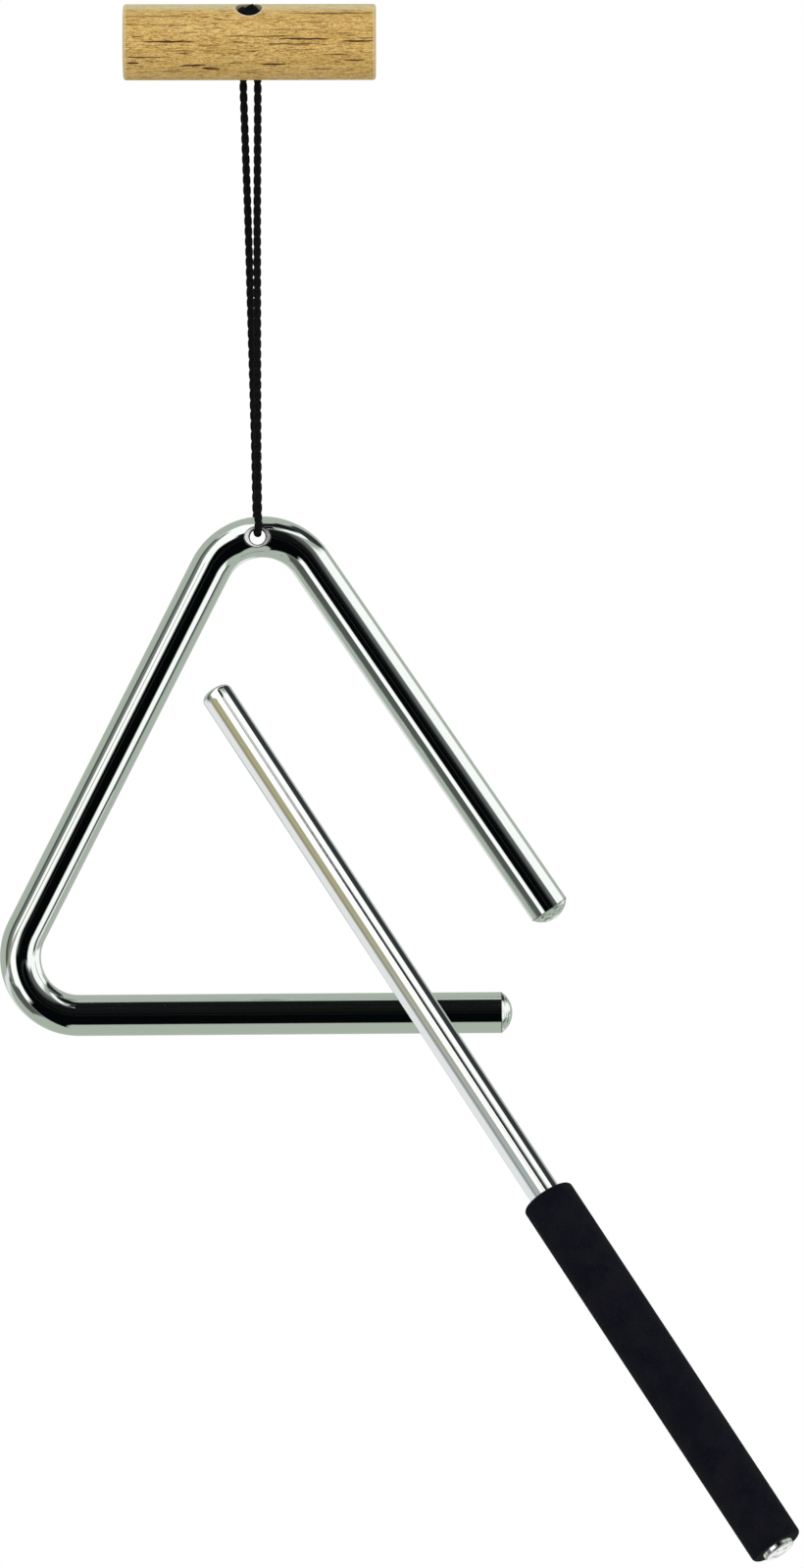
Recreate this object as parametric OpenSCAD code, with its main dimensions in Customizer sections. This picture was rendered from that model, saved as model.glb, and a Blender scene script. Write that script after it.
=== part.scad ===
// Hand-held triangle: a bent steel rod hung on a looped cord from a wooden dowel, with a gripped beater.
// The origin is the centre of the dowel, by which the instrument is held. X runs along the dowel,
// Y away from the viewer and Z up. The rod hangs with its weight straight below the cord.

/* [Wooden holder] */
// Length of the dowel
holder_len = 49.2; // [40:0.2:70]
// Diameter of the dowel
holder_d = 14.8; // [13:0.2:20]
// Rounding of the dowel's end edges
holder_round = 0.6; // [0.2:0.1:1.5]
// How far the dowel is rolled, so that its cross hole tips toward the viewer
holder_roll = 29.5; // [20:0.5:40]
// How far the dowel leans, right end down, from square to the cord
holder_lean = 0.8; // [0:0.1:1]
// Diameter of the cross hole that the two strands run through
bore_d = 4.7; // [4.6:0.1:4.8]
// Diameter of the wider mouth that the knot sits in
mouth_d = 5.2; // [5.2:0.1:6]
// Depth of the wider mouth
mouth_depth = 2.8; // [2:0.1:3.5]

/* [Cord] */
// Diameter of the cord
cord_d = 1.4; // [1:0.1:1.4]
// Distance between the middles of the two strands where they leave the dowel
strand_pitch = 2.8; // [2.6:0.1:2.8]
// How far in front of the cross hole's middle the strands lie
strand_lay = 0.5; // [0.3:0.1:0.5]
// Width of the knot in the mouth
knot_d = 5; // [4.9:0.1:5.1]
// Height of the knot's flat-sided part
knot_side_h = 1.6; // [1:0.1:2]
// Height of the knot's rounded top
knot_crown_h = 1.2; // [0.8:0.1:1.6]

/* [Triangle] */
// Diameter of the bent rod
rod_d = 8; // [7:0.1:8]
// Radius of the two bends, to the rod's middle line
bend_r = 11.4; // [10:0.1:13]
// Distance between the sharp corners of the rod's middle line, up the closed side
closed_side = 117.1; // [105:0.1:125]
// Length of the lower bar from its sharp corner to the edge of its domed end
bar_len = 101.1; // [90:0.1:104]
// Length of the open side from the sharp top corner to the edge of its domed end
open_side = 101.4; // [90:0.1:104]
// Angle inside the top bend
top_angle = 61.4; // [60:0.1:63]
// Angle inside the lower bend
low_angle = 62.7; // [61:0.1:64]
// Height of the domed ends
dome_h = 2.1; // [1.5:0.1:3]
// How far round the bend the cord hole is from the bend's crest, toward the closed side
hole_turn = 1; // [0:0.1:3]
// Turn of the rod about its cord hole that puts its weight straight below the hole
hang_turn = 2.9; // [2.5:0.1:3.3]
// Depth of the cord hole's middle below the dowel's middle
hole_drop = 96.4; // [96.4:0.1:98]
// Diameter of the cord hole through the rod
hole_d = 3.1; // [3.1:0.1:3.4]
// How much thicker the rod is in its two bends
bend_swell = 0.1; // [0.1:0.02:0.2]
// Diameter of the countersink, where its cone meets the rod's front and back
sink_d = 5.3; // [4.6:0.1:5.6]

/* [Beater] */
// Length of the beater
beater_len = 200; // [170:1:240]
// Diameter of the beater's rod
beater_d = 6; // [5:0.1:7]
// Rounding of the beater's tip
tip_round = 1; // [0.3:0.1:1.5]
// Rounding of the rod's other end, which shows at the end of the grip
butt_round = 0.3; // [0.1:0.1:0.6]
// How far the rod stands out of the grip's end
butt_out = 1; // [0.4:0.1:3]
// Length of the soft grip
grip_len = 80; // [60:1:110]
// Diameter of the soft grip
grip_d = 10.2; // [9:0.1:14]
// Rounding of the grip's end edges
grip_round = 0.8; // [0.3:0.1:1.2]
// Slope of the beater below the horizontal, seen from the front
beater_slope = 57.4; // [50:0.1:65]
// Tilt of the beater's grip end toward the viewer
beater_tilt = 18; // [10:0.5:25]
// Place of the beater's tip to the right of the dowel's middle
tip_x = -7.8; // [-20:0.1:10]
// Distance of the beater's tip in front of the dowel's middle
tip_front = 52; // [52:1:80]
// Depth of the beater's tip below the dowel's middle
tip_drop = 127; // [115:0.5:135]

/* [Hidden] */
$fn = 96;
tube_sides = 8;
ring_pitch = 3 * cord_d;
cut = 1 * cord_d;

holder_r = holder_d / 2;
mouth_floor = holder_r - mouth_depth;
// Height in the rolled dowel's own frame at which the strands leave the cross hole
exit_depth = sqrt(pow(holder_r, 2) - pow(strand_lay, 2));
// The strands and the rod hang in the plane below this place
hang_y = exit_depth * sin(holder_roll) - strand_lay * cos(holder_roll);
// The strands inside the hole stop this far above the place they leave it, so the hanging ones can sway
bore_gap = 0.8 * cord_d;

dome_r = (pow(rod_d / 2, 2) + pow(dome_h, 2)) / (2 * dome_h);
sink_depth = (sink_d - hole_d) / 2;
// The straight lengths run this far into the bends, where the thicker bend still covers them
bend_overlap = sqrt(bend_swell * (bend_r - rod_d / 2)) / 2;

// Places along the cord, beside the hanging line: right, back and height.
// They are of the strand that is right at the dowel and in front at the rod. The other one is the same
// strand turned half round the hanging line.
neck_route = [[1.4, 0, -7], [1.4, -0.1, -9]];
strand_route = [[1.4, -0.1, -9.3], [1.2, -0.7, -20], [0.9, -1.5, -35], [0.7, -2.3, -50]];
// From the strand's end down the rod's front and through its hole to the middle of the rod
loop_front = [
    [0.7, -2.3, -50], [0.5, -3.1, -65], [0.2, -3.9, -80], [0, -4.5, -92], [0, -4.6, -94],
    [0, -4.5, -94.7], [0, -4.2, -95.2], [0, -3.6, -95.5], [0, -2.8, -95.6], [0, 0, -95.6]
];

function unit(v) = v / norm(v);
function half_turned(route) = [for (p = route) [-p.x, -p.y, p.z]];
function backward(list) = [for (i = [len(list) - 1:-1:0]) list[i]];
function without_first(list) = [for (i = [1:len(list) - 1]) list[i]];
function ring_count(a, b) = max(1, ceil(norm(b - a) / ring_pitch));
// The route with a ring at least every ring_pitch
function filled(route) = [
    for (i = [0:len(route) - 2])
        let (n = ring_count(route[i], route[i + 1]))
            for (k = [0:n - 1]) route[i] + (route[i + 1] - route[i]) * k / n,
    route[len(route) - 1]
];
// The cord's direction at each ring. It starts and ends upright, so its end faces are level
function way(points, i) =
    i == 0 ? [0, 0, sign(points[1].z - points[0].z)] :
    i == len(points) - 1 ? [0, 0, sign(points[i].z - points[i - 1].z)] :
    unit(unit(points[i + 1] - points[i]) + unit(points[i] - points[i - 1]));
function ring(centre, along) =
    let (side = unit(cross(along, [1, 0, 0])), up = cross(side, along))
        [for (k = [0:tube_sides - 1])
            centre + (side * cos(360 * k / tube_sides) + up * sin(360 * k / tube_sides)) * cord_d / 2];

// One closed tube along a route
module tube(route) {
    points = filled(route);
    rings = len(points);
    skin = [
        for (i = [0:rings - 2])
            for (k = [0:tube_sides - 1])
                let (next = (k + 1) % tube_sides)
                    [i * tube_sides + k, (i + 1) * tube_sides + k,
                     (i + 1) * tube_sides + next, i * tube_sides + next]
    ];
    first_face = [for (k = [0:tube_sides - 1]) k];
    last_face = [for (k = [tube_sides - 1:-1:0]) (rings - 1) * tube_sides + k];
    polyhedron([for (i = [0:rings - 1]) each ring(points[i], way(points, i))], concat([first_face], skin, [last_face]));
}

// Half outline of a round bar with rounded end edges, for turning about Z
module bar_outline(len, r, low_round, high_round) {
    translate([0, low_round]) square([r, len - low_round - high_round]);
    square([r - low_round, len]);
    translate([0, len - high_round]) square([r - high_round, high_round]);
    translate([r - low_round, low_round]) circle(low_round);
    translate([r - high_round, len - high_round]) circle(high_round);
}

module round_bar(len, r, low_round, high_round) {
    rotate_extrude() intersection() {
        bar_outline(len, r, low_round, high_round);
        square([r, len]);
    }
}

// Puts what is modelled with the cross hole upright into the rolled dowel
module rolled() {
    rotate([holder_roll, 0, 0]) children();
}

module wooden_holder() {
    color("burlywood") difference() {
        rotate([0, 90 + holder_lean, 0]) translate([0, 0, -holder_len / 2])
            round_bar(holder_len, holder_r, holder_round, holder_round);
        rolled() {
            translate([0, 0, -holder_r - cut]) cylinder(h = holder_d + 2 * cut, d = bore_d);
            translate([0, 0, mouth_floor]) cylinder(h = mouth_depth + cut, d = mouth_d);
        }
    }
}

module cord_knot() {
    crown_r = (pow(knot_d / 2, 2) + pow(knot_crown_h, 2)) / (2 * knot_crown_h);
    color("black") rolled() translate([0, 0, mouth_floor]) intersection() {
        cylinder(h = knot_side_h + 2 * knot_crown_h, d = knot_d);
        translate([0, 0, knot_side_h + knot_crown_h - crown_r]) sphere(crown_r);
    }
}

module cord_in_bore() {
    low = -exit_depth + bore_gap;
    color("black") rolled() for (side = [-1, 1])
        translate([side * strand_pitch / 2, -strand_lay, low]) cylinder(h = mouth_floor - low, d = cord_d);
}

// Both strands along a route, in the plane that the rod hangs in
module two_strands(route) {
    color("black") translate([0, hang_y, 0]) {
        tube(route);
        tube(half_turned(route));
    }
}

module cord_neck() {
    two_strands(neck_route);
}

module cord_strands() {
    two_strands(strand_route);
}

module cord_loop() {
    color("black") translate([0, hang_y, 0])
        tube(concat(loop_front, without_first(backward(half_turned(loop_front)))));
}

// A bend whose arms leave its sharp corner, at the origin, along +X and along +X turned by angle
module bend(angle) {
    translate([bend_r / tan(angle / 2), bend_r]) rotate([0, 0, 90 + angle])
        rotate_extrude(angle = 180 - angle) translate([bend_r, 0]) circle(d = rod_d + bend_swell);
}

// A straight length along +X. It starts this far from its sharp corner
module arm(start, len) {
    translate([start, 0, 0]) rotate([0, 90, 0]) cylinder(h = len, d = rod_d);
}

// The same with a domed end. This length is up to the dome's edge
module domed_arm(start, len) {
    intersection() {
        arm(start, len + 2 * dome_h);
        translate([start, 0, 0]) rotate([0, 90, 0]) {
            cylinder(h = len + dome_h - dome_r, d = 2 * rod_d);
            translate([0, 0, len + dome_h - dome_r]) sphere(dome_r);
        }
    }
}

// The rod lies in the XY plane here, its top corner at the origin and its closed side along +X
module flat_triangle() {
    top_run = bend_r / tan(top_angle / 2) - bend_overlap;
    low_run = bend_r / tan(low_angle / 2) - bend_overlap;
    arm(top_run, closed_side - top_run - low_run);
    bend(top_angle);
    rotate([0, 0, top_angle]) domed_arm(top_run, open_side - top_run);
    translate([closed_side, 0, 0]) mirror([1, 0, 0]) {
        bend(low_angle);
        rotate([0, 0, low_angle]) domed_arm(low_run, bar_len - low_run);
    }
}

// The cord hole, drilled through the bend along Z
module cord_hole() {
    cylinder(h = rod_d + 2 * cut, d = hole_d, center = true);
    for (side = [0, 1]) mirror([0, 0, side]) translate([0, 0, rod_d / 2 - sink_depth])
        cylinder(h = 2 * sink_depth, d1 = hole_d, d2 = hole_d + 4 * sink_depth);
}

module triangle() {
    bend_middle = [bend_r / tan(top_angle / 2), bend_r];
    hole_way = 180 + top_angle / 2 + hole_turn;
    color("silver") translate([0, hang_y, -hole_drop]) rotate([90, 0, 0])
        rotate([0, 0, -90 - top_angle / 2 + hang_turn]) difference() {
            translate(-bend_middle - bend_r * [cos(hole_way), sin(hole_way)])
                flat_triangle();
            cord_hole();
        }
}

// Puts what stands on +Z, tip down, at the beater's place
module beater_place() {
    translate([tip_x, -tip_front, -tip_drop]) rotate([beater_tilt, 90 + beater_slope, 0]) children();
}

module beater_rod() {
    color("gainsboro") beater_place() round_bar(beater_len, beater_d / 2, tip_round, butt_round);
}

module beater_grip() {
    color("dimgray") beater_place() translate([0, 0, beater_len - butt_out - grip_len]) difference() {
        round_bar(grip_len, grip_d / 2, grip_round, grip_round);
        translate([0, 0, -cut]) cylinder(h = grip_len + 2 * cut, d = beater_d);
    }
}

wooden_holder();
cord_knot();
cord_in_bore();
cord_neck();
cord_strands();
cord_loop();
triangle();
beater_rod();
beater_grip();
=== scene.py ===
import math

import bmesh
import bpy
import numpy as np
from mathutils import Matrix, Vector


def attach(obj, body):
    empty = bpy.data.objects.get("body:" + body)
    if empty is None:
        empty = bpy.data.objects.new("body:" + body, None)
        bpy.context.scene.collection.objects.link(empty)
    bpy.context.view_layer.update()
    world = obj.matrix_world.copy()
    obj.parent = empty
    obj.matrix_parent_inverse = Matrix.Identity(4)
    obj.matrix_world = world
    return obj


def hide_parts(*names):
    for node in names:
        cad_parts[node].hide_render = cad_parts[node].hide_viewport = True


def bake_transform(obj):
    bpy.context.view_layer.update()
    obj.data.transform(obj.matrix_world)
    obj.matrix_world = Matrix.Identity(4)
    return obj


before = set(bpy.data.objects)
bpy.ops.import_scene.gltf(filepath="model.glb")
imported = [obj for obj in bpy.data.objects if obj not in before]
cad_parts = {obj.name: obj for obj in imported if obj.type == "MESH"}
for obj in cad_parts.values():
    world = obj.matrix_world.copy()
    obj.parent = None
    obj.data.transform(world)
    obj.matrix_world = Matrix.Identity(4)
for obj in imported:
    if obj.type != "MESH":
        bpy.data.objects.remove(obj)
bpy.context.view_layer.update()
scene = bpy.context.scene

MM = 0.001

# ---------------------------------------------------------------- camera
CAMERA_PLACE = (0.02741, -2.0, -0.14504)   # metres
CAMERA_ROLL = 0.9                          # degrees
CAMERA_LENS, CAMERA_SENSOR = 235.6, 36.0


def add_camera():
    data = bpy.data.cameras.new("camera")
    data.sensor_width = CAMERA_SENSOR
    data.lens = CAMERA_LENS
    camera = bpy.data.objects.new("camera", data)
    camera.location = CAMERA_PLACE
    camera.rotation_euler = (math.radians(90), math.radians(CAMERA_ROLL), 0)
    scene.collection.objects.link(camera)
    scene.camera = camera


add_camera()

# ---------------------------------------------------------------- sizes
HOLDER_LEN, HOLDER_R, HOLDER_ROUND = 49.2, 7.4, 0.6
HOLDER_ROLL, HOLDER_LEAN = math.radians(29.5), math.radians(0.8)
BORE_R, MOUTH_R, MOUTH_DEPTH = 2.35, 2.6, 2.8
MOUTH_FLOOR = HOLDER_R - MOUTH_DEPTH

PLY_R = 0.78                      # out to the crest of a ply
STRAND_X, STRAND_LAY = 1.4, 0.5   # how far each strand lies to the side of the bore's middle, and in front of it

ROD_R, BEND_R = 4.0, 11.4
CLOSED_SIDE, BAR_LEN, OPEN_SIDE = 117.1, 101.1, 101.4
TOP_ANGLE, LOW_ANGLE = math.radians(61.4), math.radians(62.7)
DOME_H = 2.1
# How far the cord hole is off the middle of the top bend, and how far the triangle hangs turned
HOLE_TURN, HANG_TURN = math.radians(1.0), math.radians(2.9)
HOLE_DROP, HOLE_R, SINK_R = 96.4, 1.55, 2.65

BEATER_LEN, BEATER_R = 200.0, 3.0
TIP_ROUND, BUTT_ROUND, BUTT_OUT = 1.0, 0.3, 1.0
GRIP_LEN, GRIP_R, GRIP_ROUND = 80.0, 5.1, 0.8
BEATER_SLOPE, BEATER_TILT = math.radians(57.4), math.radians(18.0)
BEATER_TIP = np.array([-7.8, -52.0, -127.0])

# Where a strand leaves the holder's underside. Below it the cord and the triangle hang at HANG_Y.
EXIT_DEPTH = math.sqrt(HOLDER_R ** 2 - STRAND_LAY ** 2)
HANG_Y = EXIT_DEPTH * math.sin(HOLDER_ROLL) - STRAND_LAY * math.cos(HOLDER_ROLL)


def rolled(p):
    """A place given with the cross hole upright, in the rolled holder."""
    x, y, z = p
    c, s = math.cos(HOLDER_ROLL), math.sin(HOLDER_ROLL)
    return np.array([x, y * c - z * s, y * s + z * c])


def unrolled(p):
    """From the frame to the axes in which the cross hole is upright."""
    x, y, z = p
    c, s = math.cos(HOLDER_ROLL), math.sin(HOLDER_ROLL)
    return np.array([x, y * c + z * s, -y * s + z * c])


def leaned(p):
    """From the dowel's own axes, X along it, to the frame."""
    c, s = math.cos(HOLDER_LEAN), math.sin(HOLDER_LEAN)
    return np.array([p[0] * c + p[2] * s, p[1], -p[0] * s + p[2] * c])


def own_axes(p):
    """From the frame to the dowel's own axes."""
    c, s = math.cos(HOLDER_LEAN), math.sin(HOLDER_LEAN)
    return np.array([p[0] * c - p[2] * s, p[1], p[0] * s + p[2] * c])


# ---------------------------------------------------------------- mesh helpers
def new_object(name, verts, faces):
    """verts are in millimetres."""
    mesh = bpy.data.meshes.new(name)
    mesh.from_pydata([tuple(float(c) * MM for c in v) for v in verts], [], faces)
    mesh.validate()
    mesh.update()
    mesh.shade_smooth()
    obj = bpy.data.objects.new(name, mesh)
    scene.collection.objects.link(obj)
    return obj


def set_uv(obj, uv_of_vertex):
    layer = obj.data.uv_layers.new(name="along")
    for loop in obj.data.loops:
        layer.data[loop.index].uv = uv_of_vertex[loop.vertex_index]


def tube_faces(rings, sides):
    """Faces between rings of vertices, and a flat cap at each end."""
    faces = []
    for i in range(rings - 1):
        a, b = i * sides, (i + 1) * sides
        for k in range(sides):
            n = (k + 1) % sides
            faces.append((a + k, a + n, b + n, b + k))
    last = (rings - 1) * sides
    return faces + [tuple(range(sides - 1, -1, -1)), tuple(range(last, last + sides))]


def flip_outward(obj):
    """Turns a closed mesh's faces outward."""
    work = bmesh.new()
    work.from_mesh(obj.data)
    bmesh.ops.recalc_face_normals(work, faces=work.faces)
    work.to_mesh(obj.data)
    work.free()


FINER = 4   # places to each step on a smooth line, before it is spaced evenly


def part_way(t, low, high, a, b):
    """From a to b as t goes from low to high."""
    return (high - t) / (high - low) * a + (t - low) / (high - low) * b


def smooth_line(points, step):
    """A centripetal Catmull-Rom line through the points, at even steps."""
    p = np.array(points, float)
    p = np.vstack([2 * p[0] - p[1], p, 2 * p[-1] - p[-2]])
    fine = []
    for i in range(1, len(p) - 2):
        a, b, c, d = p[i - 1:i + 3]
        ab, bc, cd = (np.linalg.norm(v) ** 0.5 for v in (b - a, c - b, d - c))
        t0, t1, t2, t3 = 0.0, ab, ab + bc, ab + bc + cd
        count = max(FINER, int(np.linalg.norm(c - b) / step * FINER))
        for k in range(count):
            t = t1 + bc * k / count
            q1, q2, q3 = part_way(t, t0, t1, a, b), part_way(t, t1, t2, b, c), part_way(t, t2, t3, c, d)
            r1, r2 = part_way(t, t0, t2, q1, q2), part_way(t, t1, t3, q2, q3)
            fine.append(part_way(t, t1, t2, r1, r2))
    fine.append(p[-2])
    return even_line(np.array(fine), step)


def even_line(p, step):
    """The same line with its points as near to one step apart as its length allows."""
    gone = np.concatenate([[0], np.cumsum(np.linalg.norm(np.diff(p, axis=0), axis=1))])
    count = max(2, int(round(gone[-1] / step)) + 1)
    at = np.linspace(0, gone[-1], count)
    return np.stack([np.interp(at, gone, p[:, k]) for k in range(3)], axis=1)


def sides_along(p):
    """Two untwisted sides, square to each other and to the line, at every point of it."""
    d = np.gradient(p, axis=0)
    d /= np.linalg.norm(d, axis=1)[:, None]
    side = np.cross(d[0], [0, 1, 0.01])   # any way that no line starts along
    side /= np.linalg.norm(side)
    sides = [side]
    for k in range(1, len(p)):
        side = sides[-1] - d[k] * np.dot(sides[-1], d[k])
        sides.append(side / np.linalg.norm(side))
    sides = np.array(sides)
    return sides, np.cross(d, sides)


# ---------------------------------------------------------------- cord
PLY_PITCH = 4.0      # one turn of the two plies
PLY_GROOVE = 0.36    # how deep the groove between the plies is, as a share of the radius
PLY_FULLNESS = 1.6   # how narrow the groove is
CORD_SIDES = 24
CORD_STEP = 0.2
RUN_TOP = -12.0      # the long run starts here
SWAY_LOW = -8.1      # the piece in the bore ends here

# A strand in the bore, in the rolled holder: heights from the mouth down
BORE_HEIGHTS = (MOUTH_FLOOR - 0.2, 2.0, -1.0, -3.5, -5.4)
# The right strand from the holder to the middle of the rod: how far each place is right of the upright line that
# the cord hangs on, how far behind it, and how high
HANG_ROUTE = [
    [1.4, 0, -7], [1.4, -0.1, -9], [1.2, -0.7, -20], [0.9, -1.5, -35], [0.7, -2.3, -50], [0.5, -3.1, -65],
    [0.32, -3.9, -80], [0.25, -4.5, -92], [0.2, -4.6, -94], [0.2, -4.5, -94.7], [0.15, -4.2, -95.2],
    [0.1, -3.6, -95.5], [0, -2.8, -95.6], [0, 0, -95.6],
]


def strand(side):
    """One strand from the mouth to the middle of the rod. side is 1 for the right one, which comes to the rod's
    front, and -1 for the left one, which comes to its back."""
    bore = [rolled([side * STRAND_X, -STRAND_LAY, h]) for h in BORE_HEIGHTS]
    return bore + [np.array([side * x, HANG_Y + side * y, z]) for x, y, z in HANG_ROUTE]


def ply_radius(turn):
    """Radius of the two plies together at an angle from the middle of one of them."""
    return PLY_R * (1 - PLY_GROOVE * (1 - abs(math.cos(turn))) ** PLY_FULLNESS)


def cord_mesh(name, line, start):
    """A tube of two twisted plies. start is how far along the cord its first ring is."""
    sides, ups = sides_along(line)
    step = np.linalg.norm(line[1] - line[0])
    verts, uv = [], []
    for i, p in enumerate(line):
        gone = start + i * step
        phase = 2 * math.pi * gone / PLY_PITCH
        for k in range(CORD_SIDES):
            turn = 2 * math.pi * k / CORD_SIDES
            out = math.cos(turn + phase) * sides[i] + math.sin(turn + phase) * ups[i]
            verts.append(p + ply_radius(turn) * out)
            uv.append((gone, k / CORD_SIDES))
    obj = new_object(name, verts, tube_faces(len(line), CORD_SIDES))
    set_uv(obj, uv)
    return obj


def add_cord():
    """The whole cord is one line, cut into pieces where its joints are."""
    right, left = strand(1), strand(-1)
    line = smooth_line(right + left[::-1][1:], CORD_STEP)
    step = np.linalg.norm(line[1] - line[0])
    low = int(np.argmin(line[:, 2]))

    def at_level(level):
        """Where the line passes a height on its way down, and on its way up again."""
        return [a + int(np.argmin(np.abs(line[a:b, 2] - level))) for a, b in ((0, low), (low, None))]

    sway_a, sway_b = at_level(SWAY_LOW)
    run_a, run_b = at_level(RUN_TOP)
    ends = {
        "cord_bore_right": (0, sway_a), "cord_sway_right": (sway_a, run_a), "cord_run": (run_a, run_b),
        "cord_sway_left": (run_b, sway_b), "cord_bore_left": (sway_b, len(line) - 1),
    }
    made = {name: cord_mesh(name, line[a:b + 1], a * step) for name, (a, b) in ends.items()}
    for side in ("right", "left"):
        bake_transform(made["cord_bore_" + side])
        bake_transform(made["cord_sway_" + side])
    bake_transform(made["cord_run"])
    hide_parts("cord_strands", "cord_loop")
    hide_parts("cord_neck")
    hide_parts("cord_in_bore")
    return made, line[run_a:run_b + 1]


cord, run_line = add_cord()

KNOT_R, KNOT_SWELL = 1.12, 0.5        # the knot's middle radius, and how far it goes in and out
KNOT_HEIGHT, KNOT_RISE = 5.95, 0.62   # its place above the holder's middle, and how far it goes up and down
KNOT_STEP, KNOT_POINTS = 0.12, 400    # the lump is worked out at this many places and then evenly spaced
KNOT_TAILS = {
    "cord_tail_right": [[0.4, -0.5, 6.1], [1.0, -0.9, 6.7], [1.6, -0.6, 6.9]],
    "cord_tail_left": [[-0.2, 0.6, 6.2], [0.3, 1.1, 6.8], [0.9, 1.3, 6.9]],
}


def knot_place(turn):
    reach = KNOT_R + KNOT_SWELL * math.cos(3 * turn)
    height = KNOT_HEIGHT + KNOT_RISE * math.sin(3 * turn)
    return rolled([reach * math.cos(2 * turn), reach * math.sin(2 * turn), height])


def add_knot():
    """Knot in the mouth: the two ends tied into one lump, with two short cut tails."""
    places = [knot_place(2 * math.pi * k / KNOT_POINTS) for k in range(KNOT_POINTS + 1)]
    pieces = [cord_mesh("cord_knot_lump", even_line(np.array(places), KNOT_STEP), 0)]
    for name, points in KNOT_TAILS.items():
        pieces.append(cord_mesh(name, smooth_line([rolled(p) for p in points], KNOT_STEP), 0))
    for piece in pieces:
        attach(piece, "holder")
    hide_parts("cord_knot")
    return pieces


knot = add_knot()

[tuple(p * MM) for p in run_line[::5]]


# ---------------------------------------------------------------- materials
class Tree:
    """Short way to write node trees. A value is named after its socket, or i and its number. A socket as a value
    is a link, anything else is a setting."""

    def __init__(self, tree):
        self.tree = tree
        tree.nodes.clear()

    def node(self, kind, props=None, **values):
        made = self.tree.nodes.new(kind)
        for key, value in (props or {}).items():
            setattr(made, key, value)
        for key, value in values.items():
            socket = made.inputs[int(key[1:])] if key[1:].isdigit() else made.inputs[key.replace("_", " ")]
            if isinstance(value, bpy.types.NodeSocket):
                self.tree.links.new(value, socket)
            else:
                socket.default_value = value
        return made

    def math(self, operation, a, b=0.0, c=0.0):
        return self.node("ShaderNodeMath", {"operation": operation}, i0=a, i1=b, i2=c).outputs[0]

    def vector(self, operation, a, b=(0, 0, 0)):
        made = self.node("ShaderNodeVectorMath", {"operation": operation}, i0=a, i1=b)
        return made.outputs[1 if operation in ("LENGTH", "DOT_PRODUCT") else 0]

    def scaled(self, vector, factor):
        return self.node("ShaderNodeVectorMath", {"operation": "SCALE"}, i0=vector, Scale=factor).outputs[0]

    def axes(self, vector):
        return self.node("ShaderNodeSeparateXYZ", i0=vector).outputs

    def step(self, value, low, high, from_=0.0, to=1.0):
        """Smooth change from one value to another as the input goes from low to high."""
        return self.node(
            "ShaderNodeMapRange", {"interpolation_type": "SMOOTHSTEP"},
            i0=value, i1=low, i2=high, i3=from_, i4=to,
        ).outputs[0]

    def below(self, value, low, high, amount=1.0):
        """The amount where the input is under low, 0 where it is over high."""
        return self.step(value, low, high, amount, 0.0)

    def mix(self, factor, a, b):
        """A colour that isn't a socket is red, green and blue."""
        a, b = (c + (1,) if isinstance(c, tuple) else c for c in (a, b))
        return self.node("ShaderNodeMix", {"data_type": "RGBA"}, i0=factor, i6=a, i7=b).outputs[2]

    def noise(self, vector, scale, detail=2.0, roughness=0.5):
        return self.node(
            "ShaderNodeTexNoise", Vector=vector, Scale=scale, Detail=detail, Roughness=roughness
        ).outputs[0]

    def place(self, vector, scale=(1, 1, 1), location=(0, 0, 0), rotation=(0, 0, 0)):
        return self.node(
            "ShaderNodeMapping", Vector=vector, Scale=scale, Location=location, Rotation=rotation
        ).outputs[0]

    def bump(self, height, strength, distance, **under):
        return self.node("ShaderNodeBump", Height=height, Strength=strength, Distance=distance, **under).outputs[0]

    def finish(self, shader, kind="ShaderNodeOutputMaterial"):
        self.node(kind, i0=shader.outputs[0])

    def principled(self, **values):
        self.finish(self.node("ShaderNodeBsdfPrincipled", **values))


def material(name):
    made = bpy.data.materials.new(name)
    made.use_nodes = True
    return made, Tree(made.node_tree)


def millimetres(t):
    """Object coordinates in millimetres."""
    return t.place(t.node("ShaderNodeTexCoord").outputs["Object"], scale=(1000, 1000, 1000))


def dress(obj, made):
    obj.data.materials.clear()
    obj.data.materials.append(made)


def cord_material():
    made, t = material("black_cord")
    uv = t.node("ShaderNodeTexCoord").outputs["UV"]
    fibres = t.noise(t.place(uv, scale=(2.2, 40, 1), rotation=(0, 0, 0.02)), 1.0, 3)
    fuzz = t.noise(millimetres(t), 7.0, 3, 0.7)
    deep, raised = (0.0015, 0.0015, 0.0018), (0.009, 0.0094, 0.0105)
    relief = t.math("ADD", fibres, t.math("MULTIPLY", fuzz, 0.5))
    t.principled(
        Base_Color=t.mix(t.step(fibres, 0.35, 0.75), deep, raised), Roughness=t.step(fuzz, 0.3, 0.7, 0.6, 0.85),
        Normal=t.bump(relief, 0.6, 0.00008), Specular_IOR_Level=0.08,
    )
    return made


black_cord = cord_material()
for piece in list(cord.values()) + knot:
    dress(piece, black_cord)


# ---------------------------------------------------------------- surfaces with exact normals
def cut(obj, cutter):
    """Takes the cutter out of obj and leaves a plain mesh."""
    modifier = obj.modifiers.new("cut", "BOOLEAN")
    modifier.operation = "DIFFERENCE"
    modifier.solver = "EXACT"
    modifier.object = cutter
    done = bpy.data.meshes.new_from_object(obj.evaluated_get(bpy.context.evaluated_depsgraph_get()))
    obj.modifiers.clear()
    obj.data = done
    bpy.data.objects.remove(cutter)


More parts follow.
